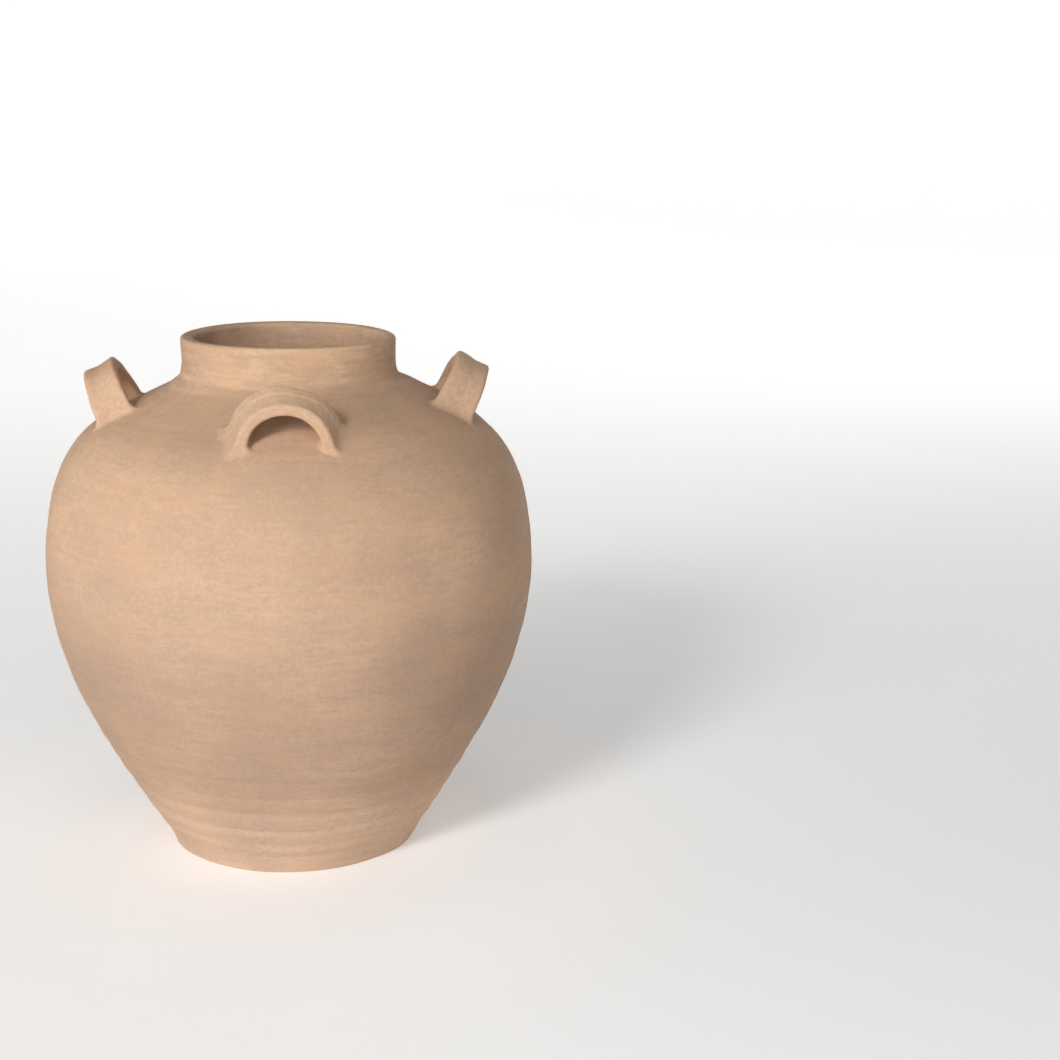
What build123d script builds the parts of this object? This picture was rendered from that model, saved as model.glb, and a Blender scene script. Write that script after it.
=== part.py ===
from build123d import *
import math
import os

# Wide-bellied clay storage jar with a short neck and four strap lugs.
# The jar is made of clay sections luted together, so each section is a solid
# of its own. Origin at the centre of the foot, +Z up, millimetres.

# ---------------------------------------------------------------- dimensions
jar_height = 380.0
foot_radius = 89.5            # outer radius where the floor slab meets the table
foot_rounding = 2.5
slab_thickness = 12.0
slab_top_radius = 96.2

# outer line of the wall, (radius, height), from the slab to the neck
outer_line = [
    (96.2, 12.0),
    (110.1, 34.2),
    (128.4, 64.6),
    (151.4, 106.4),
    (169.2, 152.0),
    (178.1, 197.6),
    (176.9, 243.2),
    (165.9, 285.0),
    (146.6, 311.6),
    (121.0, 328.7),
    (97.0, 340.9),
    (86.0, 346.9),
    (79.3, 352.8),
    (77.2, 361.0),
]
outer_start = (0.535, 0.845)  # direction in which the wall leaves the slab

wall_at_foot = 12.0
wall_at_belly = 9.6
wall_at_shoulder = 9.0

neck_outer_radius = 77.4
neck_bore_radius = 69.0
bore_bottom = 354.0
lip_radius = (neck_outer_radius - neck_bore_radius) / 2

# luted seams between sections: outer point, inner point, depth of the V
seam_lower_belly = ((144.6, 92.5), (135.2, 97.6), 3.2)
seam_belly_shoulder = ((179.0, 222.0), (169.0, 221.4), 3.2)
seam_shoulder_neck = ((82.6, 349.4), (76.0, 341.6), 2.6)
seam_neck_rim = ((77.4, 366.0), (69.0, 366.0), 2.2)
foot_tongue = 2.8             # the wall's foot presses this deep into the slab

corner_coil_foot = 12.5       # how far the corner coil reaches over the floor
corner_coil_rise = 15.0       # and up the wall

# strap lugs: each is an arch of flattened clay that stands on the shoulder
lug_tilt = 28.0               # the shoulder's slope where the lugs stand, degrees
lug_base_height = 322.0
strap_thickness = 10.0
strap_root = -14.0            # the legs run on below the shoulder and are cut there
strap_edge = 2.8              # rounding of the strap's long edges

# lug: direction in degrees, distance of its base point from the jar's axis,
# outer half-span, rise, and where the strap's lower and upper edge lie along
# the slope: (at the base point, gain for each mm of rise)
lugs = {
    "front": (268.3, 122.0, 36.0, 37.2, (-13.0, 0.195), (14.2, 0.025)),
    "left": (178.6, 121.9, 35.6, 38.1, (-13.2, 0.155), (14.6, 0.015)),
    "right": (355.8, 119.2, 36.0, 43.0, (-12.4, 0.130), (17.2, 0.010)),
    "back": (91.4, 121.2, 35.8, 38.6, (-13.0, 0.160), (15.0, 0.015)),
}

# wads of luting clay around each foot of a lug, at two levels above the base
# point: how far they reach past the strap towards the opening, away from it,
# down the slope and up the slope
wad_low = (-6.0, 2.6, 11.0, 9.6, 6.6)
wad_high = (9.0, 1.6, 1.0, 1.5, 1.5)
wad_corner_low, wad_corner_high = 8.0, 4.0

seam_direction = 45.0         # the revolved surfaces close between two lugs

os.makedirs("parts", exist_ok=True)


# ------------------------------------------------------------------- profile
def seam_line(outer, inner, depth, reach_out=45.0, reach_in=30.0):
    """Zigzag across the wall: flat, a V towards the lower section, flat."""
    dx, dy = inner[0] - outer[0], inner[1] - outer[1]
    length = math.hypot(dx, dy)
    ux, uy = dx / length, dy / length

    def at(along, down=0.0):
        return (
            outer[0] + ux * along - uy * down,
            outer[1] + uy * along + ux * down,
        )

    return [
        at(-reach_out),
        at(0.26 * length),
        at(0.50 * length, depth),
        at(0.74 * length),
        at(length + reach_in),
    ]


outer_curve = Spline(*outer_line, tangents=(outer_start, (0.0, 1.0)))


def thickness_at(u, height):
    if height < 110:
        return wall_at_foot + (wall_at_belly - wall_at_foot) * max(height - 12, 0) / 98
    if height < 250:
        return wall_at_belly
    return wall_at_belly + (wall_at_shoulder - wall_at_belly) * min((height - 250) / 70, 1)


# the inner line runs beside the outer one at the wall's thickness
inner_line = []
for step in range(0, 31):
    u = 0.968 - 0.968 * step / 31
    point = outer_curve.position_at(u)
    along = outer_curve.tangent_at(u)
    wall = thickness_at(u, point.Y)
    inner_line.append((point.X - along.Y * wall, point.Y + along.X * wall))
inner_line = [p for p in inner_line if slab_thickness + 6.0 < p[1] < bore_bottom - 8.0]
inner_foot = (slab_top_radius - wall_at_foot - 2.2, slab_thickness)
inner_curve = Spline((neck_bore_radius, bore_bottom), *inner_line, inner_foot)

lip_centre = ((neck_outer_radius + neck_bore_radius) / 2, jar_height - lip_radius)
tongue_out, tongue_in = slab_top_radius - 3.4, inner_foot[0] + 3.4
tongue_mid = (tongue_out + tongue_in) / 2

wall_face = make_face(
    [
        outer_curve,
        Line(outer_line[-1], (neck_outer_radius, lip_centre[1])),
        ThreePointArc(
            (neck_outer_radius, lip_centre[1]),
            (lip_centre[0], jar_height),
            (neck_bore_radius, lip_centre[1]),
        ),
        Line((neck_bore_radius, lip_centre[1]), (neck_bore_radius, bore_bottom)),
        inner_curve,
        Line(inner_foot, (tongue_in, slab_thickness)),
        Line((tongue_in, slab_thickness), (tongue_mid, slab_thickness - foot_tongue)),
        Line((tongue_mid, slab_thickness - foot_tongue), (tongue_out, slab_thickness)),
        Line((tongue_out, slab_thickness), outer_line[0]),
    ]
)

half_plane = Plane(
    origin=(0, 0, 0),
    x_dir=(
        math.cos(math.radians(seam_direction)),
        math.sin(math.radians(seam_direction)),
        0,
    ),
    z_dir=(
        math.sin(math.radians(seam_direction)),
        -math.cos(math.radians(seam_direction)),
        0,
    ),
)


def turn(face):
    """The ring that a face in the (radius, height) plane sweeps."""
    return revolve(half_plane * face, axis=Axis.Z, revolution_arc=360)


def between(lower, upper):
    return Polygon(*lower, *reversed(upper), align=None)


cut_lower = seam_line(*seam_lower_belly)
cut_belly = seam_line(*seam_belly_shoulder)
cut_shoulder = seam_line(*seam_shoulder_neck, reach_out=60.0, reach_in=24.0)
cut_rim = seam_line(*seam_neck_rim)

parts = {}

# floor slab, with the V groove that takes the foot of the wall
slab_face = make_face(
    [
        Line((0, 0), (foot_radius, 0)),
        Line((foot_radius, 0), (slab_top_radius, slab_thickness)),
        Line((slab_top_radius, slab_thickness), (0, slab_thickness)),
        Line((0, slab_thickness), (0, 0)),
    ]
)
foot_corner = slab_face.vertices().filter_by_position(
    Axis.X, foot_radius - 0.5, foot_radius + 0.5
)
slab_face = fillet(foot_corner, foot_rounding)
slab_face = slab_face - Polygon(
    (tongue_in, slab_thickness),
    (tongue_mid, slab_thickness - foot_tongue),
    (tongue_out, slab_thickness),
    (tongue_mid, slab_thickness + 6.0),
    align=None,
)
parts["base_disc"] = turn(slab_face)

# coil pressed into the corner between floor and wall
coil_outer = inner_foot[0] + 14.0
coil_face = make_face(
    [
        Line((inner_foot[0] - corner_coil_foot, slab_thickness), (coil_outer, slab_thickness)),
        Line(
            (coil_outer, slab_thickness),
            (coil_outer, slab_thickness + corner_coil_rise),
        ),
        Line(
            (coil_outer, slab_thickness + corner_coil_rise),
            (inner_foot[0] + 8.0, slab_thickness + corner_coil_rise),
        ),
        ThreePointArc(
            (inner_foot[0] + 8.0, slab_thickness + corner_coil_rise),
            (inner_foot[0] - 0.6, slab_thickness + 4.6),
            (inner_foot[0] - corner_coil_foot, slab_thickness),
        ),
    ]
)
coil_pieces = (coil_face - wall_face).faces()
parts["floor_corner_coil"] = turn(coil_pieces.sort_by(Axis.X)[0])

# wall sections
parts["lower_wall"] = turn(
    wall_face & Polygon((20, -10), (230, -10), *cut_lower, align=None)
)
parts["belly_wall"] = turn(wall_face & between(cut_lower, cut_belly))
parts["shoulder_wall"] = turn(wall_face & between(cut_belly, cut_shoulder))
parts["neck_collar"] = turn(wall_face & between(cut_shoulder, cut_rim))
parts["rim_coil"] = turn(wall_face & Polygon(*cut_rim, (20, 400), (150, 400), align=None))

# the jar's outer form as one block, used to trim the lugs to the shoulder
form_face = make_face(
    [
        outer_curve,
        Line(outer_line[-1], (0, outer_line[-1][1])),
        Line((0, outer_line[-1][1]), (0, outer_line[0][1])),
        Line((0, outer_line[0][1]), outer_line[0]),
    ]
)
form = turn(form_face)

# --------------------------------------------------------------------- lugs
tilt = math.radians(lug_tilt)


def lug_axes(direction, distance):
    """Base point, and the ways across the lug, out of the shoulder and upslope."""
    turned = math.radians(direction)
    out = Vector(math.cos(turned), math.sin(turned), 0)
    across = Vector(-math.sin(turned), math.cos(turned), 0)
    away = out * math.sin(tilt) + Vector(0, 0, math.cos(tilt))
    upslope = out * -math.cos(tilt) + Vector(0, 0, math.sin(tilt))
    base = out * distance + Vector(0, 0, lug_base_height)
    return base, across, away, upslope


def strap(direction, distance, half_span, rise, low, high):
    """Arch of flattened clay, wider at the feet than at the top."""
    base, across, away, upslope = lug_axes(direction, distance)
    inner_span = half_span - strap_thickness
    centre = rise - half_span
    arch_face = make_face(
        [
            Line((-half_span, strap_root), (-half_span, centre)),
            ThreePointArc((-half_span, centre), (0, rise), (half_span, centre)),
            Line((half_span, centre), (half_span, strap_root)),
            Line((half_span, strap_root), (inner_span, strap_root)),
            Line((inner_span, strap_root), (inner_span, centre)),
            ThreePointArc(
                (inner_span, centre), (0, centre + inner_span), (-inner_span, centre)
            ),
            Line((-inner_span, centre), (-inner_span, strap_root)),
            Line((-inner_span, strap_root), (-half_span, strap_root)),
        ]
    )
    arch = extrude(
        Plane(origin=base, x_dir=across, z_dir=-upslope) * arch_face, 40, both=True
    )
    bottom, top = strap_root - 4.0, rise + 6.0
    side_face = Polygon(
        (low[0] + low[1] * bottom, bottom),
        (high[0] + high[1] * bottom, bottom),
        (high[0] + high[1] * top, top),
        (low[0] + low[1] * top, top),
        align=None,
    )
    side = extrude(
        Plane(origin=base, x_dir=upslope, z_dir=across) * side_face, 60, both=True
    )
    band = arch & side
    long_edges = [
        e
        for e in band.edges()
        if (e.position_at(0.5) - base).dot(away) > strap_root + 0.5
    ]
    return fillet(long_edges, strap_edge)


def wad(direction, distance, half_span, low, high, side):
    """Soft clay pressed around one foot of a lug."""
    base, across, away, upslope = lug_axes(direction, distance)
    outlines = []
    for (level, inward, outward, down, up), corner in (
        (wad_low, wad_corner_low),
        (wad_high, wad_corner_high),
    ):
        near, far = half_span - strap_thickness - inward, half_span + outward
        lower = low[0] + low[1] * level - down
        upper = high[0] + high[1] * level + up
        plane = Plane(origin=base + away * level, x_dir=across, z_dir=away)
        outline = RectangleRounded(far - near, upper - lower, corner)
        outlines.append(
            plane * Pos(side * (near + far) / 2, (lower + upper) / 2) * outline
        )
    return loft([outlines[0].face(), outlines[1].face()])


for name, (direction, distance, half_span, rise, low, high) in lugs.items():
    band = strap(direction, distance, half_span, rise, low, high)
    parts["handle_" + name] = band - form
    pads = [
        wad(direction, distance, half_span, low, high, side) - form - band
        for side in (-1, 1)
    ]
    parts[name + "_luting"] = Compound(
        children=[s for pad in pads for s in pad.solids() if s.volume > 50]
    )

# -------------------------------------------------------------------- write
for name, shape in parts.items():
    solids = shape.solids()
    body = solids[0] if len(solids) == 1 else Compound(children=solids)
    export_step(body, os.path.join("parts", name + ".step"))
    box = body.bounding_box()
    print(
        f"{name:18s} solids {len(solids)}  volume {body.volume:10.0f}"
        f"  z {box.min.Z:7.2f} to {box.max.Z:7.2f}"
    )
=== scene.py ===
"""A wide-bellied clay jar with four strap lugs, in a pale studio.

The walls are turned from the jar's outer line, with the rings and small
unevenness that throwing leaves. The lugs and the clay smeared round their feet
are solid shapes given by distances and turned into meshes. Lengths are in
millimetres until a mesh is made.
"""
import math

import bpy
import numpy as np
from mathutils import Matrix


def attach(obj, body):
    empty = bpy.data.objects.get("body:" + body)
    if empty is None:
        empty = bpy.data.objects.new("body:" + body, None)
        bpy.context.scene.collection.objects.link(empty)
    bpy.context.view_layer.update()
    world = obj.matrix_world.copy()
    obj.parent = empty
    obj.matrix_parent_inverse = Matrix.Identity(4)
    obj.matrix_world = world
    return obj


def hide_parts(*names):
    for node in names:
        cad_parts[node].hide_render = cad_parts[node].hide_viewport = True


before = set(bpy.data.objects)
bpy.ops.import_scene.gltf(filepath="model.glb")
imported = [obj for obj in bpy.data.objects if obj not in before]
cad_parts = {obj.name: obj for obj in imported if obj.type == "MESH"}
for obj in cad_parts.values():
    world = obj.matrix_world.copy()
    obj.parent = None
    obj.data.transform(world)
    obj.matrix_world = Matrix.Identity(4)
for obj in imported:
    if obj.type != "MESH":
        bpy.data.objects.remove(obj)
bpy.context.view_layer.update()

MM = 0.001
scene = bpy.context.scene


# ------------------------------------------------------------------ jar line
JAR_HEIGHT = 380.0
FOOT_RADIUS = 89.5
SLAB_TOP = (96.2, 12.0)
OUTER_LINE = [
    (96.2, 12.0), (110.1, 34.2), (128.4, 64.6), (151.4, 106.4), (169.2, 152.0),
    (178.1, 197.6), (176.9, 243.2), (165.9, 285.0), (146.6, 311.6),
    (121.0, 328.7), (97.0, 340.9), (86.0, 346.9), (79.3, 352.8), (77.2, 361.0),
]
OUTER_START, OUTER_END = (0.535, 0.845), (0.0, 1.0)
NECK_OUT, NECK_IN, BORE_BOTTOM = 77.4, 69.0, 354.0
LIP_RADIUS = (NECK_OUT - NECK_IN) / 2
SEAM_LOWER = ((144.6, 92.5), (135.2, 97.6), 3.2)
SEAM_SHOULDER = ((179.0, 222.0), (169.0, 221.4), 3.2)
SEAM_NECK = ((82.6, 349.4), (76.0, 341.6), 2.6)
SEAM_RIM = ((77.4, 366.0), (69.0, 366.0), 2.2)
INNER_FOOT = (82.0, 12.0)


class Spline:
    """Smooth curve through points, with chosen or free directions at its ends."""

    def __init__(self, points, start=None, end=None):
        p = np.asarray(points, float)
        u = np.r_[0.0, np.cumsum(np.hypot(*np.diff(p, axis=0).T))]
        h = np.diff(u)
        n = len(p)
        a = np.zeros((n, n))
        b = np.zeros((n, 2))
        for i in range(1, n - 1):
            a[i, i - 1], a[i, i], a[i, i + 1] = h[i], 2 * (h[i - 1] + h[i]), h[i - 1]
            b[i] = 3 * (h[i] * (p[i] - p[i - 1]) / h[i - 1] + h[i - 1] * (p[i + 1] - p[i]) / h[i])
        if start is None:
            a[0, 0], a[0, 1], b[0] = 2, 1, 3 * (p[1] - p[0]) / h[0]
        else:
            a[0, 0], b[0] = 1, start
        if end is None:
            a[-1, -1], a[-1, -2], b[-1] = 2, 1, 3 * (p[-1] - p[-2]) / h[-1]
        else:
            a[-1, -1], b[-1] = 1, end
        self.p, self.u, self.h, self.m = p, u, h, np.linalg.solve(a, b)

    def at(self, u, d=0):
        u = np.asarray(u, float)
        i = np.clip(np.searchsorted(self.u, u, side="right") - 1, 0, len(self.h) - 1)
        h = self.h[i][..., None]
        s = ((u - self.u[i]) / self.h[i])[..., None]
        p0, p1, m0, m1 = self.p[i], self.p[i + 1], self.m[i], self.m[i + 1]
        if d == 0:
            return (
                (2 * s**3 - 3 * s**2 + 1) * p0 + (s**3 - 2 * s**2 + s) * h * m0
                + (3 * s**2 - 2 * s**3) * p1 + (s**3 - s**2) * h * m1
            )
        return (
            (6 * s**2 - 6 * s) / h * p0 + (3 * s**2 - 4 * s + 1) * m0
            + (6 * s - 6 * s**2) / h * p1 + (3 * s**2 - 2 * s) * m1
        )


outer = Spline(OUTER_LINE, OUTER_START, OUTER_END)


def thickness_at(z):
    if z < 110:
        return 12.0 - 2.4 * max(z - 12, 0) / 98
    if z < 250:
        return 9.6
    return 9.6 - 0.6 * min((z - 250) / 70, 1)


def unit(v):
    return v / np.linalg.norm(v, axis=-1, keepdims=True)


inner_points = []
for q in 0.968 - 0.968 * np.arange(0, 31) / 31:
    p, t = outer.at(q * outer.u[-1]), unit(outer.at(q * outer.u[-1], 1))
    wall = thickness_at(p[1])
    inner_points.append((p[0] - t[1] * wall, p[1] + t[0] * wall))
inner_points = [p for p in inner_points if 18.0 < p[1] < BORE_BOTTOM - 8.0]
inner = Spline([(NECK_IN, BORE_BOTTOM), *inner_points, INNER_FOOT])


def resample(points, step):
    """Points at even steps along a polyline, ends kept."""
    points = np.asarray(points, float)
    u = np.r_[0.0, np.cumsum(np.hypot(*np.diff(points, axis=0).T))]
    n = max(int(round(u[-1] / step)), 1)
    w = np.linspace(0, u[-1], n + 1)
    return np.c_[np.interp(w, u, points[:, 0]), np.interp(w, u, points[:, 1])]


fine_outer = outer.at(np.linspace(0, outer.u[-1], 6001))
fine_inner = inner.at(np.linspace(0, inner.u[-1], 6001))


def stretch(fine, start, end, step):
    """The part of a fine polyline between the points nearest to start and end."""
    i = np.hypot(*(fine - start).T).argmin()
    j = np.hypot(*(fine - end).T).argmin()
    part = fine[i : j + 1] if j > i else fine[j : i + 1][::-1]
    return resample(part, step)


# -------------------------------------------------------------------- relief
def smooth(a, b, x):
    s = np.clip((x - a) / (b - a), 0, 1)
    return s * s * (3 - 2 * s)


def bell(x, centre, width):
    return np.exp(-(((x - centre) / width) ** 2))


def waves(count, wavelength, seed, flat=1.0):
    """Directions, phases and weights of a smooth random field in space."""
    r = np.random.default_rng(seed)
    d = unit(r.normal(size=(count, 3)))
    d[:, 2] *= flat
    k = 2 * math.pi / (wavelength * r.uniform(0.7, 1.4, count))
    return d * k[:, None], r.uniform(0, 2 * math.pi, count), math.sqrt(2 / count)


def field(p, made):
    """Smooth random field, about -1 to 1, at points (..., 3)."""
    k, phase, weight = made
    out = np.zeros(p.shape[:-1])
    for kk, ph in zip(k, phase):
        out += np.sin(p @ kk + ph)
    return out * weight


# throwing rings: height, depth (grooves are negative), half-width, how far the
# ring leans, the direction it leans to, the direction where it is strongest
# and how much of it is left on the far side
RINGS = [
    (15.0, -0.36, 2.9, 0.6, 20, -60, 0.7),
    (21.3, 0.22, 2.5, 0.6, 20, -95, 0.6),
    (27.2, -0.34, 2.6, 0.9, 60, -80, 0.5),
    (36.0, 0.30, 4.0, 0.9, 60, -70, 0.6),
    (41.4, -0.34, 2.9, 1.1, 90, -120, 0.6),
    (50.0, 0.26, 4.4, 1.0, 90, -60, 0.6),
    (57.0, -0.35, 3.1, 1.4, 130, -95, 0.5),
    (66.0, 0.25, 4.4, 1.3, 130, -90, 0.6),
    (71.8, -0.25, 3.2, 1.4, 170, -50, 0.4),
    (85.0, -0.18, 4.0, 1.6, 210, -110, 0.4),
    (91.5, 0.15, 4.6, 1.6, 210, -90, 0.5),
    (111.0, -0.16, 2.4, 1.2, 100, -120, 0.25),
    (132.0, -0.13, 4.5, 1.8, 0, -60, 0.3),
    (147.0, -0.09, 4.0, 1.5, 50, -100, 0.3),
    (160.0, -0.09, 5.0, 1.8, 90, -50, 0.3),
    (171.0, -0.10, 4.0, 1.5, 140, -95, 0.3),
    (190.0, -0.06, 5.0, 1.5, 180, -60, 0.3),
    (207.0, -0.05, 5.0, 1.5, 10, -110, 0.4),
    (225.0, -0.10, 4.0, 1.2, 220, -80, 0.4),
    (246.0, -0.11, 3.6, 1.4, 270, -100, 0.4),
    (264.0, -0.10, 3.4, 1.2, 300, -70, 0.4),
    (279.0, -0.11, 3.4, 1.2, 330, -95, 0.4),
    (296.0, -0.10, 3.2, 1.0, 0, -60, 0.4),
    (313.0, -0.12, 3.6, 0.8, 40, -100, 0.5),
    (347.0, -0.30, 2.4, 0.5, 40, -120, 0.8),
    (358.0, 0.16, 3.6, 0.5, 40, -90, 0.6),
    (372.0, -0.10, 3.0, 0.4, 80, -60, 0.5),
]
broad = waves(10, 150.0, 1)
middle = waves(12, 55.0, 2, flat=2.2)
scrape = waves(14, 30.0, 3, flat=6.0)


def relief(theta, r, z):
    """How far the outer surface stands off the jar's even outer line."""
    theta, r, z = np.broadcast_arrays(theta, r, z)
    d = np.zeros(theta.shape)
    for at, depth, width, lean, lean_to, strong, far in RINGS:
        where = at + lean * np.cos(theta - math.radians(lean_to))
        where = where + 0.5 * np.sin(3 * theta + at) + 0.3 * np.sin(7 * theta + 2 * at)
        fade = far + (1 - far) * (0.5 + 0.5 * np.cos(theta - math.radians(strong)))
        fade = fade * (0.8 + 0.2 * np.sin(5 * theta + at))
        fade = fade * (1.7 if at < 100 else 1.25)
        d = d + depth * fade * bell(z, where, width * 0.88)
    p = np.stack([r * np.cos(theta), r * np.sin(theta), z], -1)
    calm = 1 - 0.6 * smooth(350, 366, z)
    d = d + calm * (0.30 * field(p, broad) + 0.10 * field(p, middle) + 0.035 * field(p, scrape))
    # the widest band is kept inside the jar's stated width
    d = d - 0.55 * smooth(130, 190, z) * (1 - smooth(255, 300, z))
    # the corner under the neck is tight, most of all on one side
    d = d - (0.75 - 0.45 * np.cos(theta)) * bell(z, 351.6, 2.8)
    # the shoulder stands a little higher on one side
    d = d + 1.75 * np.cos(theta) * smooth(311, 329, z) * (1 - smooth(344, 352, z))
    # nothing rises over the lip or spreads past the foot
    return d * smooth(0, 6, z) * (1 - smooth(374, 379, z))


inside_broad = waves(10, 120.0, 11)
inside_fine = waves(12, 34.0, 12, flat=4.0)


def inside_relief(theta, r, z):
    """The inner face has wider and deeper finger grooves, in one long spiral."""
    theta, r, z = np.broadcast_arrays(theta, r, z)
    p = np.stack([r * np.cos(theta), r * np.sin(theta), z], -1)
    turn = z - 13.0 * theta / (2 * math.pi)
    grooves = 0.42 * np.sin(2 * math.pi * turn / 13.0)
    grooves = grooves * smooth(26, 60, z) * (1 - smooth(318, 345, z))
    d = grooves + 0.35 * field(p, inside_broad) + 0.06 * field(p, inside_fine)
    return d * smooth(14, 30, z) * (1 - 0.8 * smooth(340, 352, z)) * (1 - smooth(370, 377, z))


# ------------------------------------------------------------------ whole line
# one line runs from the middle of the foot up the outside, over the lip and
# down the inside to the floor; every ring of the wall is a stretch of it
FOOT_ROUND = 0.5
foot_arc = [
    (FOOT_RADIUS - FOOT_ROUND + FOOT_ROUND * math.sin(a) * 1.04, FOOT_ROUND - FOOT_ROUND * math.cos(a))
    for a in np.linspace(0.0, 0.98, 12)
]
LIP_OUT, LIP_IN = 2.3, 3.2      # rounding of the lip's outer and inner edge
CREST = JAR_HEIGHT - 0.1
lip = [(NECK_OUT, CREST - LIP_OUT)]
for a in np.linspace(0, math.pi / 2, 14)[1:]:
    lip.append((NECK_OUT - LIP_OUT + LIP_OUT * math.cos(a), CREST - LIP_OUT + LIP_OUT * math.sin(a)))
for a in np.linspace(0, math.pi / 2, 18):
    lip.append((NECK_IN + LIP_IN - LIP_IN * math.sin(a), CREST - 0.3 - LIP_IN + LIP_IN * math.cos(a)))
line = np.vstack([
    [(0.001, 0.0)], foot_arc, [SLAB_TOP], fine_outer[::10][1:], lip, [(NECK_IN, BORE_BOTTOM)], fine_inner[::10][1:],
])
gap = np.r_[True, np.hypot(*np.diff(line, axis=0).T) > 1e-4]
line = line[gap]
line_u = np.r_[0.0, np.cumsum(np.hypot(*np.diff(line, axis=0).T))]
fine_u = np.arange(0, line_u[-1], 0.1)
fine_line = np.c_[np.interp(fine_u, line_u, line[:, 0]), np.interp(fine_u, line_u, line[:, 1])]
smoothed = np.array([np.convolve(np.pad(c, 4, mode="edge"), np.ones(9) / 9, "valid") for c in fine_line.T]).T
line_t = unit(np.gradient(smoothed, axis=0))
line_n = np.c_[line_t[:, 1], -line_t[:, 0]]
LIP_U = fine_u[(fine_line[:, 1] > CREST - 0.05).nonzero()[0].max()]


def u_near(point):
    return fine_u[np.hypot(*(fine_line - point).T).argmin()]


def turned_point(u, theta):
    """Points of the jar's surface: u along the line, theta around, in mm."""
    u, theta = np.broadcast_arrays(u, theta)
    r, z = np.interp(u, fine_u, fine_line[:, 0]), np.interp(u, fine_u, fine_line[:, 1])
    nr, nz = np.interp(u, fine_u, line_n[:, 0]), np.interp(u, fine_u, line_n[:, 1])
    inside = u > LIP_U
    d = np.zeros(u.shape)
    d[~inside] = relief(theta[~inside], r[~inside], z[~inside])
    d[inside] = inside_relief(theta[inside], r[inside], z[inside])
    r, z = r + nr * d, z + nz * d
    # the foot spreads a hair, swells on one side and is worn on the other
    around = (np.degrees(theta) + 180) % 360 - 180
    foot = 0.9 + 0.8 * bell(around, -108, 8) + 0.7 * bell((around + 352) % 360 - 180, 0, 24)
    foot = foot - 1.0 * bell(around, -54, 13) + 0.3 * bell(around, -20, 12)
    r = r + foot * np.exp(-np.clip(z, 0, None) / 5.0) * smooth(60, 86, r) * ~inside
    # the rim leans out a little on one side and dips at both sides
    r = r + 0.6 * (0.5 - 0.5 * np.cos(theta)) ** 2 * smooth(360, 375, z)
    z = z - 0.7 * np.cos(theta) ** 4 * smooth(366, 378, z)
    x = r * np.cos(theta)
    # the bore stands to one side, so that the lip is thinner there
    x = x + 1.2 * smooth(LIP_U - 3, LIP_U + 5, u) * smooth(348, 366, z)
    return np.stack([x, r * np.sin(theta), z], -1)


# -------------------------------------------------------------------- meshes
def grid_faces(rows, cols, closed_rows):
    """Quads of a grid that closes round its columns, and maybe its rows."""
    i = np.arange(rows if closed_rows else rows - 1)
    j = np.arange(cols)
    a, b = np.meshgrid(i, j, indexing="ij")
    a2, b2 = (a + 1) % rows, (b + 1) % cols
    return np.stack([a * cols + b, a * cols + b2, a2 * cols + b2, a2 * cols + b], -1).reshape(-1, 4)


def quads_mesh(name, verts, quads, tris=(), normals=None):
    """Mesh from arrays, faces wound outward by the caller."""
    mesh = bpy.data.meshes.new(name)
    nq, nt = len(quads), len(tris)
    mesh.vertices.add(len(verts))
    mesh.vertices.foreach_set("co", (np.asarray(verts) * MM).astype(np.float32).ravel())
    loops = np.r_[np.asarray(quads, int).ravel(), np.asarray(tris, int).ravel()]
    mesh.loops.add(len(loops))
    mesh.loops.foreach_set("vertex_index", loops.astype(np.int32))
    mesh.polygons.add(nq + nt)
    starts = np.r_[np.arange(nq) * 4, nq * 4 + np.arange(nt) * 3]
    mesh.polygons.foreach_set("loop_start", starts.astype(np.int32))
    mesh.polygons.foreach_set("use_smooth", np.ones(nq + nt, bool))
    mesh.update(calc_edges=True)
    mesh.validate()
    if normals is not None:
        mesh.normals_split_custom_set_from_vertices(np.asarray(normals, np.float32).tolist())
    ob = bpy.data.objects.new(name, mesh)
    scene.collection.objects.link(ob)
    return ob


SEGMENTS = 576


def seam(outer_point, inner_point, depth):
    """Points of a seam across the wall, between its ends: flat, V, flat."""
    a, b = np.asarray(outer_point, float), np.asarray(inner_point, float)
    length = np.hypot(*(b - a))
    ux, uy = (b - a) / length

    def at(along, down):
        return (a[0] + ux * along - uy * down, a[1] + uy * along + ux * down)

    return np.array([at(0.26 * length, 0), at(0.5 * length, depth), at(0.74 * length, 0)])


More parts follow.
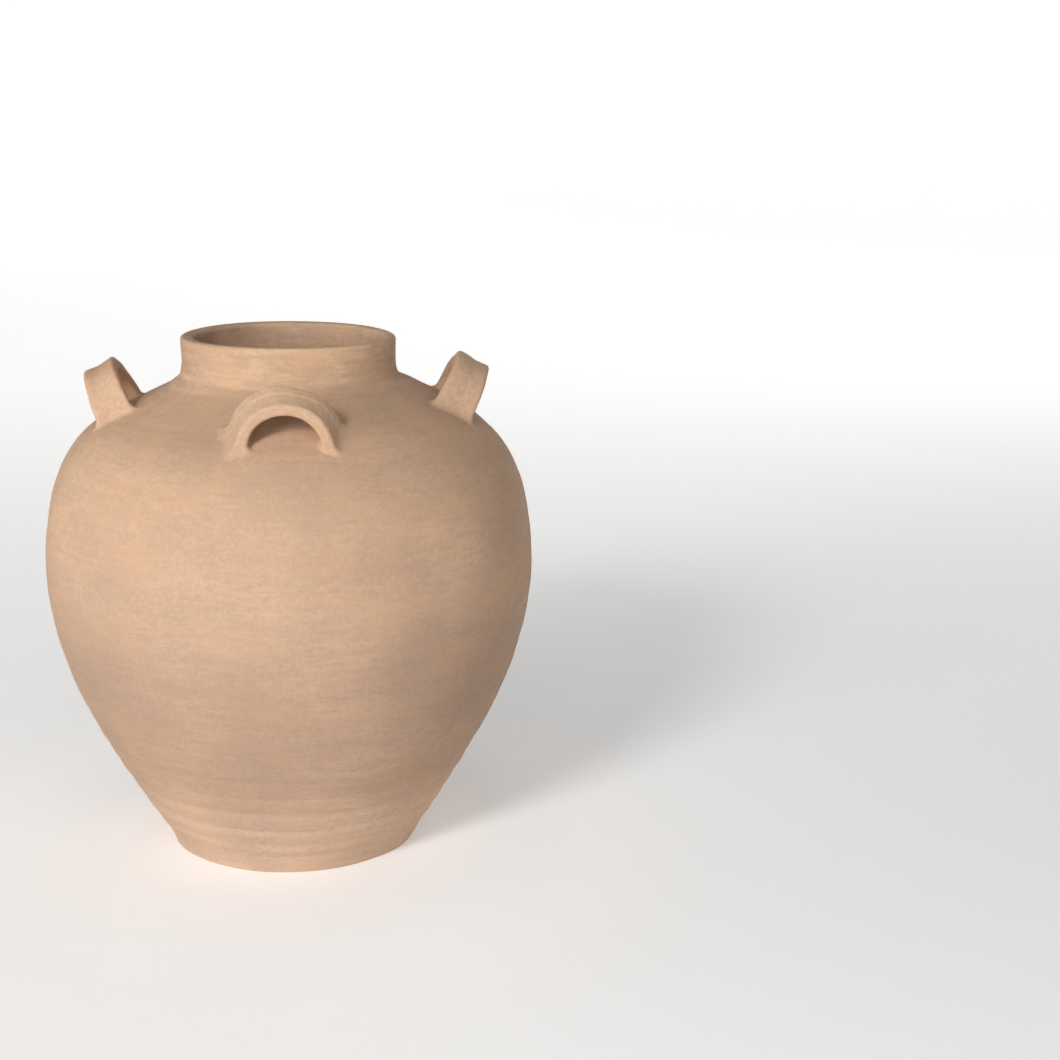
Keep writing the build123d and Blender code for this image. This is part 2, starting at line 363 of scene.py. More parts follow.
def ring_object(name, pieces, segments=SEGMENTS, closed=True, poles=()):
    """A closed mesh turned round the axis. pieces are rows of the whole line,
    (start, end, step), or plain (radius, height) points for faces inside."""
    theta = np.arange(segments) * 2 * math.pi / segments + 0.7
    grids, normals = [], []
    for piece in pieces:
        if isinstance(piece, tuple):
            start, end, step = piece
            n = max(int(round(abs(end - start) / (step * 1))), 1)
            u = np.linspace(start, end, n + 1)[:, None]
            grid = turned_point(u, theta)
            du = turned_point(u + 0.35, theta) - turned_point(u - 0.35, theta)
            dt = turned_point(u, theta + 0.003) - turned_point(u, theta - 0.003)
            normal = unit(np.cross(dt, du) + 1e-12)
        else:
            p = np.asarray(piece, float)
            grid = np.stack([
                p[:, :1] * np.cos(theta), p[:, :1] * np.sin(theta), p[:, 1:] + 0 * theta,
            ], -1)
            normal = np.zeros_like(grid)
        grids.append(grid)
        normals.append(normal)
    grid, normal = np.vstack(grids), np.vstack(normals)
    quads = grid_faces(len(grid), segments, closed)
    verts, normal, tris = grid.reshape(-1, 3), normal.reshape(-1, 3), []
    for row, z, up in poles:
        row = row % len(grid)
        verts = np.vstack([verts, [0, 0, z]])
        normal = np.vstack([normal, [0, 0, 0]])
        j = np.arange(segments)
        a, b = row * segments + j, row * segments + (j + 1) % segments
        tip = np.full(segments, len(verts) - 1)
        tris.append(np.c_[a, b, tip] if up else np.c_[b, a, tip])
    return quads_mesh(name, verts, quads, np.vstack(tris) if tris else (), normal)


clay_pieces = {}
STEP = 1.45
u_slab = u_near(SLAB_TOP)
u_out = {k: u_near(p) for k, p in (("lower", SEAM_LOWER[0]), ("belly", SEAM_SHOULDER[0]), ("shoulder", SEAM_NECK[0]), ("neck", SEAM_RIM[0]))}
u_in = {k: u_near(p) for k, p in (("lower", SEAM_LOWER[1]), ("belly", SEAM_SHOULDER[1]), ("shoulder", SEAM_NECK[1]), ("neck", SEAM_RIM[1]))}
foot_seam = np.array([(92.8, 12.0), (89.1, 9.2), (85.4, 12.0)])
lower_seam, belly_seam, neck_seam, rim_seam = seam(*SEAM_LOWER), seam(*SEAM_SHOULDER), seam(*SEAM_NECK), seam(*SEAM_RIM)

# floor slab: underside, rounded foot, the edge that shows, the top inside
u_foot = u_near(foot_arc[0])
under = [(r, 0.0) for r in np.linspace(4, 84, 21)]
clay_pieces["base_disc"] = ring_object(
    "olla_floor_slab",
    [under, (u_foot, u_slab, 0.5), foot_seam, [(r, 12.0) for r in np.linspace(81, 4, 24)]],
    closed=False, poles=((0, 0.0, False), (-1, 12.0, True)),
)

# coil in the corner between floor and wall, hidden in the wall by a hair
corner = fine_inner[(fine_inner[:, 1] < 27.0)]
wall_side = resample(corner[np.argsort(corner[:, 1])], 3.0) + np.array([0.8, 0.0])
bow = []
a, b, c = np.array((wall_side[-1][0] - 1.2, 27.6)), np.array((81.4, 16.6)), np.array((69.5, 11.9))
for s in np.linspace(0, 1, 14):
    bow.append((1 - s) ** 2 * a + 2 * s * (1 - s) * (2 * b - (a + c) / 2) + s * s * c)
clay_pieces["floor_corner_coil"] = ring_object(
    "olla_corner_coil", [np.vstack([[(wall_side[0][0], 11.6)], wall_side, bow])], segments=SEGMENTS // 2,
)

u_end = fine_u[-1]
clay_pieces["lower_wall"] = ring_object(
    "olla_lower_wall", [(u_slab, u_out["lower"], STEP), lower_seam, (u_in["lower"], u_end, 4.5), foot_seam[::-1]])
clay_pieces["belly_wall"] = ring_object(
    "olla_belly_wall", [(u_out["lower"], u_out["belly"], STEP), belly_seam, (u_in["belly"], u_in["lower"], 4.5), lower_seam[::-1]])
clay_pieces["shoulder_wall"] = ring_object(
    "olla_shoulder_wall", [(u_out["belly"], u_out["shoulder"], STEP), neck_seam, (u_in["shoulder"], u_in["belly"], 4.5), belly_seam[::-1]])
clay_pieces["neck_collar"] = ring_object(
    "olla_neck_collar", [(u_out["shoulder"], u_out["neck"], 1.0), rim_seam, (u_in["neck"], u_in["shoulder"], 1.6), neck_seam[::-1]])
clay_pieces["rim_coil"] = ring_object(
    "olla_rim_coil", [(u_out["neck"], LIP_U, 0.7), (LIP_U + 0.5, u_in["neck"], 0.8), rim_seam[::-1]])


# ------------------------------------------------------- shapes by distances
def shoulder_table():
    """Distance to the outer line on a grid of (radius, height), for the lugs."""
    rs, zs = np.arange(70.0, 190.0, 0.5), np.arange(280.0, 375.0, 0.5)
    line = np.vstack([fine_outer[::6], [[NECK_OUT, 380.0]]])
    t = unit(np.gradient(line, axis=0))
    normal = np.c_[t[:, 1], -t[:, 0]]
    out = np.empty((len(rs), len(zs)))
    near_z = np.empty_like(out)
    for i, r in enumerate(rs):
        dr, dz = r - line[:, 0][:, None], zs[None, :] - line[:, 1][:, None]
        k = (dr**2 + dz**2).argmin(0)
        j = np.arange(len(zs))
        out[i] = dr[k, 0] * normal[k, 0] + dz[k, j] * normal[k, 1]
        near_z[i] = line[k, 1]
    return rs, zs, out, near_z


TABLE = shoulder_table()


def table_at(r, z, which):
    rs, zs = TABLE[0], TABLE[1]
    grid = TABLE[which]
    x = np.clip((r - rs[0]) / 0.5, 0, len(rs) - 1.001)
    y = np.clip((z - zs[0]) / 0.5, 0, len(zs) - 1.001)
    i, j = x.astype(int), y.astype(int)
    fx, fy = x - i, y - j
    return (
        grid[i, j] * (1 - fx) * (1 - fy) + grid[i + 1, j] * fx * (1 - fy)
        + grid[i, j + 1] * (1 - fx) * fy + grid[i + 1, j + 1] * fx * fy
    )


RELIEF_THETA = np.linspace(-math.pi, math.pi, 1441)
RELIEF_Z = np.arange(285.0, 372.0, 0.5)
upper_line = fine_outer[fine_outer[:, 1] > 280]
RELIEF = relief(
    RELIEF_THETA[:, None], np.interp(RELIEF_Z, upper_line[:, 1], upper_line[:, 0])[None, :], RELIEF_Z[None, :]
)


def off_shoulder(p):
    """Distance of points from the jar's outer surface, relief included."""
    r, theta = np.hypot(p[..., 0], p[..., 1]), np.arctan2(p[..., 1], p[..., 0])
    d = table_at(r, p[..., 2], 2)
    near_z = table_at(r, p[..., 2], 3)
    x = (theta + math.pi) / (2 * math.pi) * 1440
    y = np.clip((near_z - RELIEF_Z[0]) / 0.5, 0, len(RELIEF_Z) - 1.001)
    i, j = np.clip(x.astype(int), 0, 1439), y.astype(int)
    fx, fy = x - i, y - j
    stand = (
        RELIEF[i, j] * (1 - fx) * (1 - fy) + RELIEF[i + 1, j] * fx * (1 - fy)
        + RELIEF[i, j + 1] * (1 - fx) * fy + RELIEF[i + 1, j + 1] * fx * fy
    )
    return d - stand


def surface_net(f, axes, v):
    """Closed quad mesh of f = 0, f below zero inside, from its values v on an
    even grid, with the normals of f."""
    step = axes[0][1] - axes[0][0]
    low = np.array([a[0] for a in axes])
    v = np.where(np.abs(v) < 1e-6, 1e-6, v)
    for axis in range(3):
        for end in (0, -1):
            edge = [slice(None)] * 3
            edge[axis] = end
            v[tuple(edge)] = np.maximum(v[tuple(edge)], 0.01)
    # where a square of the grid changes sign all the way round, the mesh would
    # pinch to one shared edge, so its less empty corner is filled
    for turn in range(30):
        found = 0
        for axis in range(3):
            m, n = [k for k in range(3) if k != axis]
            along, across = np.eye(3, dtype=int)[m], np.eye(3, dtype=int)[n]
            whole = tuple(slice(0, v.shape[k] - (k != axis)) for k in range(3))
            size = [w.stop for w in whole]
            c = [
                v[tuple(slice(o, o + w) for o, w in zip(offset, size))] < 0
                for offset in (0 * along, along, along + across, across)
            ]
            bad = np.argwhere((c[0] == c[2]) & (c[1] == c[3]) & (c[0] != c[1]))
            found += len(bad)
            for at in bad:
                ring = [at, at + along, at + along + across, at + across]
                out = [tuple(q) for q in ring if v[tuple(q)] >= 0]
                if out:
                    v[min(out, key=lambda q: v[q])] = -0.02
        if not found:
            break
    inside = v < 0
    cells = tuple(n - 1 for n in v.shape)
    total = np.zeros((*cells, 3))
    count = np.zeros(cells)
    crossings = []
    for axis in range(3):
        lo = [slice(None)] * 3
        hi = [slice(None)] * 3
        lo[axis], hi[axis] = slice(None, -1), slice(1, None)
        a, b = v[tuple(lo)], v[tuple(hi)]
        cross = inside[tuple(lo)] != inside[tuple(hi)]
        at = np.argwhere(cross)
        s = a[cross] / (a[cross] - b[cross])
        point = at.astype(float)
        point[:, axis] += s
        crossings.append((at, inside[tuple(lo)][cross]))
        others = [k for k in range(3) if k != axis]
        for da in (0, 1):
            for db in (0, 1):
                c = at.copy()
                c[:, others[0]] -= da
                c[:, others[1]] -= db
                np.add.at(total, tuple(c.T), point)
                np.add.at(count, tuple(c.T), 1)
    used = count > 0
    index = np.full(cells, -1)
    index[used] = np.arange(used.sum())
    verts = total[used] / count[used][:, None] * step + low
    quads = []
    for axis, (at, start_inside) in enumerate(crossings):
        u, w = (axis + 1) % 3, (axis + 2) % 3
        ring = []
        for du, dw in ((1, 1), (0, 1), (0, 0), (1, 0)):
            c = at.copy()
            c[:, u] -= du
            c[:, w] -= dw
            ring.append(index[tuple(c.T)])
        q = np.stack(ring, -1)
        q[~start_inside] = q[~start_inside][:, ::-1]
        quads.append(q)
    quads = np.vstack(quads)

    def slope(p, eps):
        return np.stack([f(p + eps * np.eye(3)[k]) - f(p - eps * np.eye(3)[k]) for k in range(3)], -1) / (2 * eps)

    # even out the mesh, then bring it back to the surface
    e = np.vstack([quads[:, [0, 1]], quads[:, [1, 2]], quads[:, [2, 3]], quads[:, [3, 0]]])
    num = np.bincount(e.ravel(), minlength=len(verts))[:, None]
    for turn in range(3):
        acc = np.stack([
            np.bincount(e[:, 0], verts[e[:, 1], k], len(verts)) + np.bincount(e[:, 1], verts[e[:, 0], k], len(verts))
            for k in range(3)
        ], -1)
        verts = verts + 0.5 * (acc / num - verts)
        d, g = f(verts), slope(verts, 0.12)
        move = -d[:, None] * g / np.maximum((g**2).sum(-1), 0.2)[:, None]
        far = np.linalg.norm(move, axis=1, keepdims=True)
        verts = verts + move * np.minimum(1, 0.5 * step / np.maximum(far, 1e-9))
    return verts, quads, unit(slope(verts, 0.3) + 1e-12)


# ----------------------------------------------------------------------- lugs
TILT = math.radians(28.0)
BASE_HEIGHT = 322.0

# direction, distance of the base point, outer and inner half-span, height of
# the arch's centre, lower and upper edge (at the base, gain per mm), widening
# upslope, how far the two feet spread, how the outside of the band rises and
# falls from its lower to its upper edge, rounding of the outer and the inner
# edges, size of the smeared clay, and a seed for the maker's unevenness
LUGS = {
    "front": dict(
        phi=268.38, rho=121.96, ro=35.9, ri=26.0, c=1.48, lo=(-13.1, 0.199), hi=(14.3, 0.030), k=0.135,
        toes=(5.6, 2.8), edge=((0.0, 0.14, 0.34, 0.56, 0.66, 0.92, 1.0), (-1.15, -1.0, -1.1, -0.95, -0.35, 0.0, 0.0)),
        round=1.8, inner_round=3.4, smear=2.6, seed=31),
    "left": dict(
        phi=179.08, rho=121.84, ro=35.3, ri=25.4, c=3.47, lo=(-13.4, 0.128), hi=(15.0, 0.020), k=0.10,
        toes=(1.6, 2.0), edge=((0.0, 0.12, 0.35, 0.50, 0.70, 0.90, 1.0), (0.2, 0.1, -0.85, -0.95, -0.5, 0.15, 0.2)),
        round=2.0, inner_round=2.2, smear=2.8, seed=41),
    "right": dict(
        phi=355.56, rho=118.93, ro=35.8, ri=25.4, c=7.42, lo=(-12.4, 0.110), hi=(18.0, 0.010), k=0.12,
        toes=(1.8, 1.6), edge=((0.0, 0.10, 0.28, 0.45, 0.64, 0.80, 1.0), (0.1, 0.2, -0.25, -0.4, 0.45, 0.7, 0.3)),
        round=2.1, inner_round=2.3, smear=2.8, seed=51),
    "back": dict(
        phi=91.4, rho=121.2, ro=35.2, ri=25.8, c=3.2, lo=(-13.0, 0.160), hi=(14.6, 0.015), k=0.10,
        toes=(2.6, 1.8), edge=((0.0, 0.15, 0.36, 0.62, 0.90, 1.0), (0.3, 0.3, -0.7, -0.6, 0.1, 0.1)),
        round=1.8, inner_round=2.4, smear=2.8, seed=61),
}


def lug_axes(lug):
    phi = math.radians(lug["phi"])
    out = np.array([math.cos(phi), math.sin(phi), 0])
    across = np.array([-math.sin(phi), math.cos(phi), 0])
    up = np.array([0, 0, 1.0])
    away = math.sin(TILT) * out + math.cos(TILT) * up
    upslope = -math.cos(TILT) * out + math.sin(TILT) * up
    return out * lug["rho"] + BASE_HEIGHT * up, np.stack([across, upslope, away])


def strap(lug, q, form):
    """Distance to the lug's band at points (across, upslope, away); form is
    how far they stand off the shoulder."""
    t, w, n = q[..., 0], q[..., 1], q[..., 2]
    rough, fine, edges = lug["waves"]
    dent = field(q, rough)
    grain = field(q, fine)
    side = smooth(-8, 8, t)
    near = np.exp(-np.clip(form, -1.5, None) / 3.4)
    toe = (lug["toes"][0] * (1 - side) + lug["toes"][1] * side) * near
    wave = field(q, edges)
    low = lug["lo"][0] + lug["lo"][1] * n - 0.3 * toe + 0.22 * wave
    high = lug["hi"][0] + lug["hi"][1] * n + 0.2 * toe + 0.28 * dent
    mid = np.clip((w - low) / (high - low), 0, 1)
    tt = t / (1 + lug["k"] * (w - 4) / lug["ro"])
    rad = np.where(n > lug["c"], np.hypot(tt, n - lug["c"]), np.abs(tt))
    lift = np.clip((n - lug["c"]) / lug["ro"], 0, 1)
    out = lug["ro"] + np.interp(mid, *lug["edge"]) + 0.20 * dent + 0.07 * grain + toe
    inn = lug["ri"] - 0.4 * lift**2 + 0.5 * (1 - lift) + 0.12 * wave - 0.7 * near
    across = np.maximum(rad - out, inn - rad)
    along = np.maximum(low - w, w - high) + 0.06 * grain
    under = smooth(-2, 2, (inn - rad) - (rad - out))
    r = (lug["round"] * (1 - under) + lug["inner_round"] * under) * (1 + 0.35 * mid)
    a, b = across + r, along + r
    return np.minimum(np.maximum(a, b), 0) + np.hypot(np.maximum(a, 0), np.maximum(b, 0)) - r


def smooth_min(a, b, k):
    h = np.clip(0.5 + 0.5 * (b - a) / k, 0, 1)
    return b + (a - b) * h - k * h * (1 - h)


def lug_meshes(name, lug):
    base, axes = lug_axes(lug)
    lug["waves"] = (waves(9, 30.0, lug["seed"]), waves(10, 8.0, lug["seed"] + 1), waves(8, 30.0, lug["seed"] + 2))
    smears = waves(9, 15.0, lug["seed"] + 5)
    step = 0.72
    grid_axes = [np.arange(a, b + step, step) for a, b in ((-54.0, 54.0), (-30.0, 32.0), (-26.0, 46.0))]
    grid = np.stack(np.meshgrid(*grid_axes, indexing="ij"), -1)

    def both(q):
        form = off_shoulder(base + q @ axes)
        return strap(lug, q, form), form

    def band(d, form):
        return np.maximum(d, -(form + 1.5))

    def luting(q, d, form):
        # a fillet between band and shoulder that thins out under both
        outer_side = smooth(28, 36, np.abs(q[..., 0]))
        k = np.clip(lug["smear"] + 2.2 * outer_side + 1.1 * field(q, smears), 1.6, 7.5)
        g = smooth_min(d, form, k)
        g = g + 0.03 + 0.5 * np.clip((np.maximum(d, form) - 0.85 * k) / k, 0, 1)
        keep = np.maximum(-(d + 1.8), -(form + 1.8))
        reach = np.maximum(d, form) - k - 1.0
        return np.maximum(np.maximum(g, keep), reach)

    d, form = both(grid)
    verts, quads, normals = surface_net(lambda q: band(*both(q)), grid_axes, band(d, form))
    handle = quads_mesh("olla_lug_" + name, base + verts @ axes, quads, normals=normals @ axes)
    verts, quads, normals = surface_net(lambda q: luting(q, *both(q)), grid_axes, luting(grid, d, form))
    pads = quads_mesh("olla_luting_" + name, base + verts @ axes, quads, normals=normals @ axes)
    clay_pieces["handle_" + name] = handle
    clay_pieces[name + "_luting"] = pads


for lug_name, lug in LUGS.items():
    lug_meshes(lug_name, lug)


# ------------------------------------------------------------------ materials
def node(tree, kind, x=0, y=0, **values):
    n = tree.nodes.new(kind)
    n.location = (x, y)
    for key, value in values.items():
        setattr(n, key, value)
    return n


def math_node(tree, operation, a, b=None, c=None, clamp=False):
    n = tree.nodes.new("ShaderNodeMath")
    n.operation = operation
    n.use_clamp = clamp
    for i, value in enumerate((a, b, c)):
        if value is None:
            continue
        if isinstance(value, (int, float)):
            n.inputs[i].default_value = value
        else:
            tree.links.new(value, n.inputs[i])
    return n.outputs[0]


def noise(tree, vector, scale, detail=2.0, rough=0.5, distortion=0.0):
    n = tree.nodes.new("ShaderNodeTexNoise")
    n.noise_dimensions = "3D"
    n.inputs["Scale"].default_value = scale
    n.inputs["Detail"].default_value = detail
    n.inputs["Roughness"].default_value = rough
    n.inputs["Distortion"].default_value = distortion
    tree.links.new(vector, n.inputs["Vector"])
    return n.outputs["Fac"]


def ramp(tree, fac, low, high, a=0.0, b=1.0):
    n = tree.nodes.new("ShaderNodeMapRange")
    n.interpolation_type = "SMOOTHSTEP"
    n.inputs["From Min"].default_value = low
    n.inputs["From Max"].default_value = high
    n.inputs["To Min"].default_value = a
    n.inputs["To Max"].default_value = b
    tree.links.new(fac, n.inputs["Value"])
    return n.outputs["Result"]


def mix(tree, fac, a, b, blend="MIX"):
    n = tree.nodes.new("ShaderNodeMix")
    n.data_type = "RGBA"
    n.blend_type = blend
    if isinstance(fac, (int, float)):
        n.inputs["Factor"].default_value = fac
    else:
        tree.links.new(fac, n.inputs["Factor"])
    for socket, value in (("A", a), ("B", b)):
        i = [s for s in n.inputs if s.name == socket and s.type == "RGBA"][0]
        if isinstance(value, tuple):
            i.default_value = (*value, 1.0)
        else:
            tree.links.new(value, i)
    return [s for s in n.outputs if s.type == "RGBA"][0]


def clay(name, tone=(0.0, 0.0, 0.0), smeared=False):
    """Unglazed, sandy fired clay, streaked the way it was turned."""
    m = bpy.data.materials.new(name)
    m.use_nodes = True
    t = m.node_tree
    t.nodes.clear()
    out = node(t, "ShaderNodeOutputMaterial", 900, 0)
    bsdf = node(t, "ShaderNodeBsdfPrincipled", 600, 0)
    t.links.new(bsdf.outputs[0], out.inputs["Surface"])
    coords = node(t, "ShaderNodeTexCoord", -1400, 0).outputs["Object"]
    split = node(t, "ShaderNodeSeparateXYZ", -1200, 0)
    t.links.new(coords, split.inputs[0])
    # around the jar by direction, so that streaks follow the turning
    flat = node(t, "ShaderNodeCombineXYZ", -1200, -200)
    t.links.new(split.outputs[0], flat.inputs[0])
    t.links.new(split.outputs[1], flat.inputs[1])
    around = node(t, "ShaderNodeVectorMath", -1000, -200, operation="NORMALIZE")
    t.links.new(flat.outputs[0], around.inputs[0])
    parts = node(t, "ShaderNodeSeparateXYZ", -900, -200)
    t.links.new(around.outputs[0], parts.inputs[0])

    def streak_space(turn, rise):
        v = node(t, "ShaderNodeCombineXYZ")
        t.links.new(math_node(t, "MULTIPLY", parts.outputs[0], turn), v.inputs[0])
        t.links.new(math_node(t, "MULTIPLY", parts.outputs[1], turn), v.inputs[1])
        t.links.new(math_node(t, "MULTIPLY", split.outputs[2], rise), v.inputs[2])
        return v.outputs[0]

    long_streaks = noise(t, streak_space(2.6, 260.0), 1.0, 3.0, 0.6)
    fine_streaks = noise(t, streak_space(9.0, 900.0), 1.0, 2.0, 0.55)
    bands = noise(t, streak_space(1.1, 42.0), 1.0, 2.0, 0.5)
    blotch = noise(t, coords, 9.0, 3.0, 0.55)
    cloud = noise(t, coords, 26.0, 3.0, 0.6)
    mottle = noise(t, coords, 270.0, 2.0, 0.6)
    dashes = noise(t, streak_space(15.0, 360.0), 1.0, 2.0, 0.55)
    sand = noise(t, coords, 620.0, 2.0, 0.6)
    grit = noise(t, coords, 1500.0, 1.0, 0.5)
    neck_streaks = noise(t, streak_space(3.4, 230.0), 1.0, 3.0, 0.62)
    warm = noise(t, streak_space(2.2, 30.0), 1.0, 2.0, 0.5)

    # the lugs were pulled by hand, so turning streaks don't run over them
    reach = node(t, "ShaderNodeVectorMath", operation="LENGTH")
    t.links.new(flat.outputs[0], reach.inputs[0])
    reach = reach.outputs["Value"]
    over = math_node(t, "ADD", split.outputs[2], math_node(t, "MULTIPLY", reach, 0.62))
    lug = math_node(t, "MULTIPLY", ramp(t, over, 0.4065, 0.4125, 0.0, 1.0), ramp(t, reach, 0.094, 0.100, 0.0, 1.0))
    turned = math_node(t, "SUBTRACT", 1.0, math_node(t, "MULTIPLY", lug, 0.85))

    def streaked(fac):
        return math_node(t, "MULTIPLY", fac, turned)

    base = tuple(c + d for c, d in zip((0.524, 0.3515, 0.2395), tone))
    light = tuple(c * f for c, f in zip(base, (1.09, 1.09, 1.09)))
    dark = tuple(c * f for c, f in zip(base, (0.82, 0.83, 0.85)))
    pink = tuple(c * f for c, f in zip(base, (1.03, 0.97, 0.95)))
    colour = mix(t, ramp(t, blotch, 0.30, 0.70), dark, light)
    colour = mix(t, ramp(t, cloud, 0.35, 0.75, 0.0, 0.5), colour, pink)
    colour = mix(t, streaked(ramp(t, bands, 0.42, 0.72, 0.0, 0.44)), colour, dark)
    colour = mix(t, streaked(ramp(t, long_streaks, 0.44, 0.70, 0.0, 0.40 if not smeared else 0.14)), colour, dark)
    colour = mix(t, streaked(ramp(t, fine_streaks, 0.45, 0.75, 0.0, 0.25 if not smeared else 0.1)), colour, light)
    colour = mix(t, streaked(ramp(t, dashes, 0.46, 0.68, 0.0, 0.47 if not smeared else 0.15)), colour, dark)
    colour = mix(t, ramp(t, mottle, 0.50, 0.70, 0.0, 0.21), colour, tuple(c * 0.74 for c in base))
    colour = mix(t, ramp(t, mottle, 0.48, 0.30, 0.0, 0.19), colour, tuple(c * 1.24 for c in base))
    crumbs = noise(t, coords, 430.0, 2.0, 0.6)
    colour = mix(t, math_node(t, "MULTIPLY", ramp(t, crumbs, 0.50, 0.68, 0.0, 0.37), lug), colour, tuple(c * 0.74 for c in base))
    colour = mix(t, math_node(t, "MULTIPLY", ramp(t, crumbs, 0.48, 0.32, 0.0, 0.28), lug), colour, tuple(c * 1.22 for c in base))
    colour = mix(t, ramp(t, sand, 0.52, 0.72, 0.0, 0.26), colour, tuple(c * 0.72 for c in base))
    colour = mix(t, ramp(t, sand, 0.46, 0.30, 0.0, 0.21), colour, tuple(min(c * 1.28, 0.95) for c in base))
    # wiped in clear streaks round the neck
    high = ramp(t, split.outputs[2], 0.338, 0.352, 0.0, 1.0)
    high = math_node(t, "MULTIPLY", high, ramp(t, reach, 0.104, 0.094, 0.0, 1.0))
    dark_streak = math_node(t, "MULTIPLY", ramp(t, neck_streaks, 0.48, 0.66, 0.0, 0.62), high)
    light_streak = math_node(t, "MULTIPLY", ramp(t, neck_streaks, 0.47, 0.33, 0.0, 0.50), high)
    colour = mix(t, dark_streak, colour, tuple(c * f for c, f in zip(base, (0.80, 0.79, 0.79))))
    colour = mix(t, light_streak, colour, tuple(c * 1.17 for c in base))
    # a warmer tinge in soft patches
    colour = mix(t, ramp(t, warm, 0.46, 0.70, 0.0, 0.45), colour, tuple(c * f for c, f in zip(base, (1.05, 0.98, 0.91))))
    # painted light: paler at the foot, standing in for light thrown up from the floor, and paler at the neck's front, a
    # painted highlight; the neck is also made a little darker on its left side
    foot = ramp(t, split.outputs[2], 0.078, 0.030, 0.0, 1.0)
    neck = ramp(t, split.outputs[2], 0.346, 0.356, 0.0, 0.75)
    neck = math_node(t, "MULTIPLY", neck, ramp(t, parts.outputs[1], -0.15, -0.95, 0.0, 1.0))
    uneven = ramp(t, bands, 0.25, 0.60, 0.65, 1.0)
    colour = mix(t, math_node(t, "MULTIPLY", foot, uneven), colour, mix(t, 1.0, colour, (1.08, 1.125, 1.18), "MULTIPLY"))
    colour = mix(t, math_node(t, "MULTIPLY", neck, uneven), colour, mix(t, 1.0, colour, (1.12, 1.13, 1.09), "MULTIPLY"))
    side = math_node(t, "MULTIPLY", ramp(t, split.outputs[2], 0.350, 0.358, 0.0, 1.0), ramp(t, parts.outputs[0], -0.20, -0.50, 0.0, 1.0))
    colour = mix(t, side, colour, mix(t, 1.0, colour, (0.91, 0.91, 0.91), "MULTIPLY"))
    # painted shade: darker low on the belly, where it faces down; painted light: paler from the upper belly up over the
    # shoulder
    low = math_node(t, "MULTIPLY", ramp(t, split.outputs[2], 0.235, 0.150, 0.0, 1.0), ramp(t, split.outputs[2], 0.035, 0.090, 0.0, 1.0))
    colour = mix(t, low, colour, mix(t, 1.0, colour, (0.85, 0.855, 0.865), "MULTIPLY"))
    painted_light_upper = ramp(t, split.outputs[2], 0.180, 0.300, 0.0, 1.0)
    colour = mix(t, painted_light_upper, colour, mix(t, 1.0, colour, (1.035, 1.02, 0.985), "MULTIPLY"))
    t.links.new(colour, bsdf.inputs["Base Color"])
    bsdf.inputs["Specular IOR Level"].default_value = 0.22
    rough = ramp(t, cloud, 0.3, 0.7, 0.86, 0.95)
    t.links.new(rough, bsdf.inputs["Roughness"])

    # relief too fine for the mesh: turning lines, sand and grit
    height = math_node(t, "MULTIPLY", long_streaks, 0.20 if not smeared else 0.08)
    height = math_node(t, "ADD", height, math_node(t, "MULTIPLY", fine_streaks, 0.12))
    height = math_node(t, "ADD", height, math_node(t, "MULTIPLY", sand, 0.22))
    height = math_node(t, "ADD", height, math_node(t, "MULTIPLY", grit, 0.10))
    bump = node(t, "ShaderNodeBump", 300, -300)
    bump.inputs["Strength"].default_value = 0.55
    bump.inputs["Distance"].default_value = 0.0006
    t.links.new(height, bump.inputs["Height"])
    t.links.new(bump.outputs[0], bsdf.inputs["Normal"])
    return m


bisque = clay("bisque_clay")
luting_clay = clay("luting_clay", tone=(0.012, 0.010, 0.008), smeared=True)

for cad_node, piece in clay_pieces.items():
    soft = cad_node.endswith("_luting")
    piece.data.materials.append(luting_clay if soft else bisque)
    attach(piece, "root")
    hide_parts(cad_node)


# -------------------------------------------------------------------- studio
def floor_bowl(radius=5.0, bend=1.6, height=3.0):
    """Pale floor that rises in a soft curve all round, so that no edge shows."""
    profile = [(r, 0.0) for r in np.linspace(0.4, radius, 14)]
    for a in np.linspace(0, math.pi / 2, 16)[1:]:
        profile.append((radius + bend * math.sin(a), bend - bend * math.cos(a)))
    profile.append((radius + bend, height))
    n = 96
    theta = np.arange(n) * 2 * math.pi / n
    verts = [(0.0, 0.0, 0.0)]
    for r, z in profile:
        verts += [(r * math.cos(a), r * math.sin(a), z) for a in theta]
    faces = [(0, 1 + j, 1 + (j + 1) % n) for j in range(n)]
    for i in range(len(profile) - 1):
        for j in range(n):
            a, b = 1 + i * n + j, 1 + i * n + (j + 1) % n
            faces.append((a, a + n, b + n, b))
    mesh = bpy.data.meshes.new("studio_floor")
    mesh.from_pydata(verts, [], faces)
    mesh.update()
    mesh.polygons.foreach_set("use_smooth", np.ones(len(mesh.polygons), bool))
    ob = bpy.data.objects.new("studio_floor", mesh)
    scene.collection.objects.link(ob)
    m = bpy.data.materials.new("studio_floor")
    m.use_nodes = True
    shader = m.node_tree.nodes["Principled BSDF"]
    shader.inputs["Base Color"].default_value = (0.90, 0.895, 0.885, 1)
    shader.inputs["Roughness"].default_value = 0.95
    shader.inputs["Specular IOR Level"].default_value = 0.1
    # the floor glows a little, like a lit table under a product photograph,
    # and more so behind the jar, so that the ground of the picture stays pale
    shader.inputs["Emission Color"].default_value = (1, 1, 1, 1)
    tree = m.node_tree
    place_xyz = node(tree, "ShaderNodeTexCoord", -900, -300).outputs["Object"]
    apart = node(tree, "ShaderNodeSeparateXYZ", -700, -300)
    tree.links.new(place_xyz, apart.inputs[0])
    glow = ramp(tree, apart.outputs[1], -0.3, 2.4, 0.20, 0.58)
    tree.links.new(glow, shader.inputs["Emission Strength"])
    mesh.materials.append(m)
    return ob


floor_bowl()

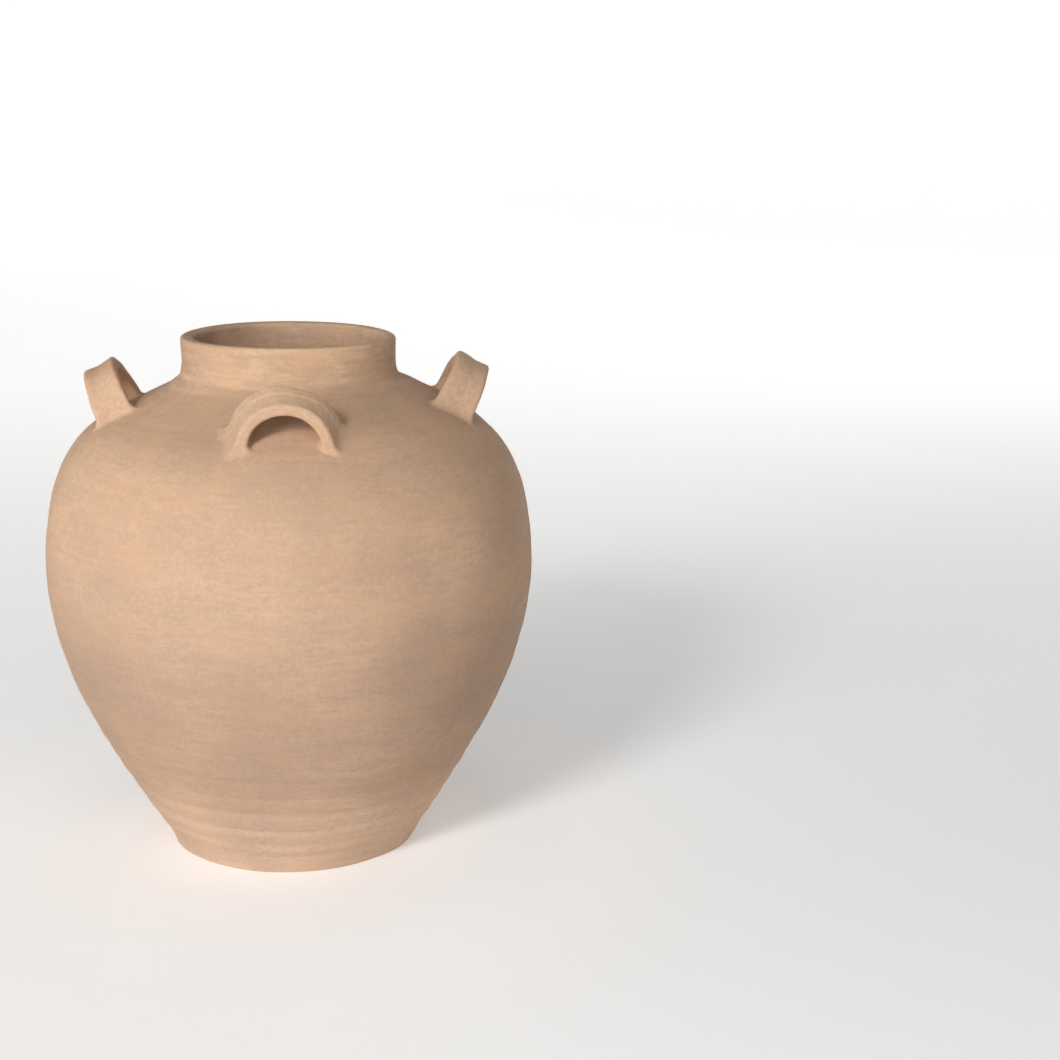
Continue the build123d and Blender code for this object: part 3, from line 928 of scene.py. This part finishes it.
world = bpy.data.worlds.new("studio")
world.use_nodes = True
world.node_tree.nodes["Background"].inputs["Color"].default_value = (1.0, 1.0, 1.0, 1)
world.node_tree.nodes["Background"].inputs["Strength"].default_value = 0.05
scene.world = world
scene.view_settings.view_transform = "Standard"


def soft_box(name, direction, rise, power, wide=1.3, high=1.0, away=2.45, colour=(1, 1, 1)):
    """A soft box aimed at the jar from a direction and a rise in degrees."""
    a, e = math.radians(direction), math.radians(rise)
    aim = np.array([0, 0, 0.2])
    d = -np.array([math.cos(e) * math.cos(a), math.cos(e) * math.sin(a), math.sin(e)])
    at = aim - away * d
    data = bpy.data.lights.new(name, "AREA")
    data.shape = "RECTANGLE"
    data.size, data.size_y = wide, high
    data.energy = power
    data.color = colour
    ob = bpy.data.objects.new(name, data)
    scene.collection.objects.link(ob)
    x = unit(np.cross([0, 0, 1.0], -d))
    y = np.cross(-d, x)
    # the light shines along its own -Z
    ob.matrix_world = Matrix([
        [x[0], y[0], -d[0], at[0]],
        [x[1], y[1], -d[1], at[1]],
        [x[2], y[2], -d[2], at[2]],
        [0, 0, 0, 1],
    ])
    ob.visible_camera = False
    return ob


soft_box("key_low", -132, 6, 35.3, wide=0.85, high=0.64, away=3.4)
soft_box("key_main", -118, 27, 58.5, wide=0.75, high=0.55, away=3.4)
soft_box("front_soft", -85, 35, 8.8, high=1.1, away=2.5)
# a weak one overhead, that reaches into the mouth
soft_box("overhead", -100, 88, 2.6, wide=0.9, high=0.9, away=2.2)
# a weak one far behind, so that the far side is not lost in the dark
soft_box("rear_soft", 62, 22, 22.0, wide=2.5, high=1.6, away=4.8)

# -------------------------------------------------------------------- camera
pitch, yaw, roll = math.radians(13.054), math.radians(6.976), math.radians(0.790)
look = np.array([math.sin(yaw) * math.cos(pitch), math.cos(yaw) * math.cos(pitch), -math.sin(pitch)])
right = np.array([math.cos(yaw), -math.sin(yaw), 0.0])
above = np.cross(right, look)
right2 = math.cos(roll) * right + math.sin(roll) * above
above2 = -math.sin(roll) * right + math.cos(roll) * above
eye = (0.0, -1.45633, 0.57153)
camera_data = bpy.data.cameras.new("camera")
camera_data.sensor_width = 36.0
camera_data.lens = 67.925
camera_data.clip_start = 0.05
camera = bpy.data.objects.new("camera", camera_data)
scene.collection.objects.link(camera)
camera.matrix_world = Matrix([
    [right2[0], above2[0], -look[0], eye[0]],
    [right2[1], above2[1], -look[1], eye[1]],
    [right2[2], above2[2], -look[2], eye[2]],
    [0, 0, 0, 1],
])
scene.camera = camera

bpy.context.view_layer.update()
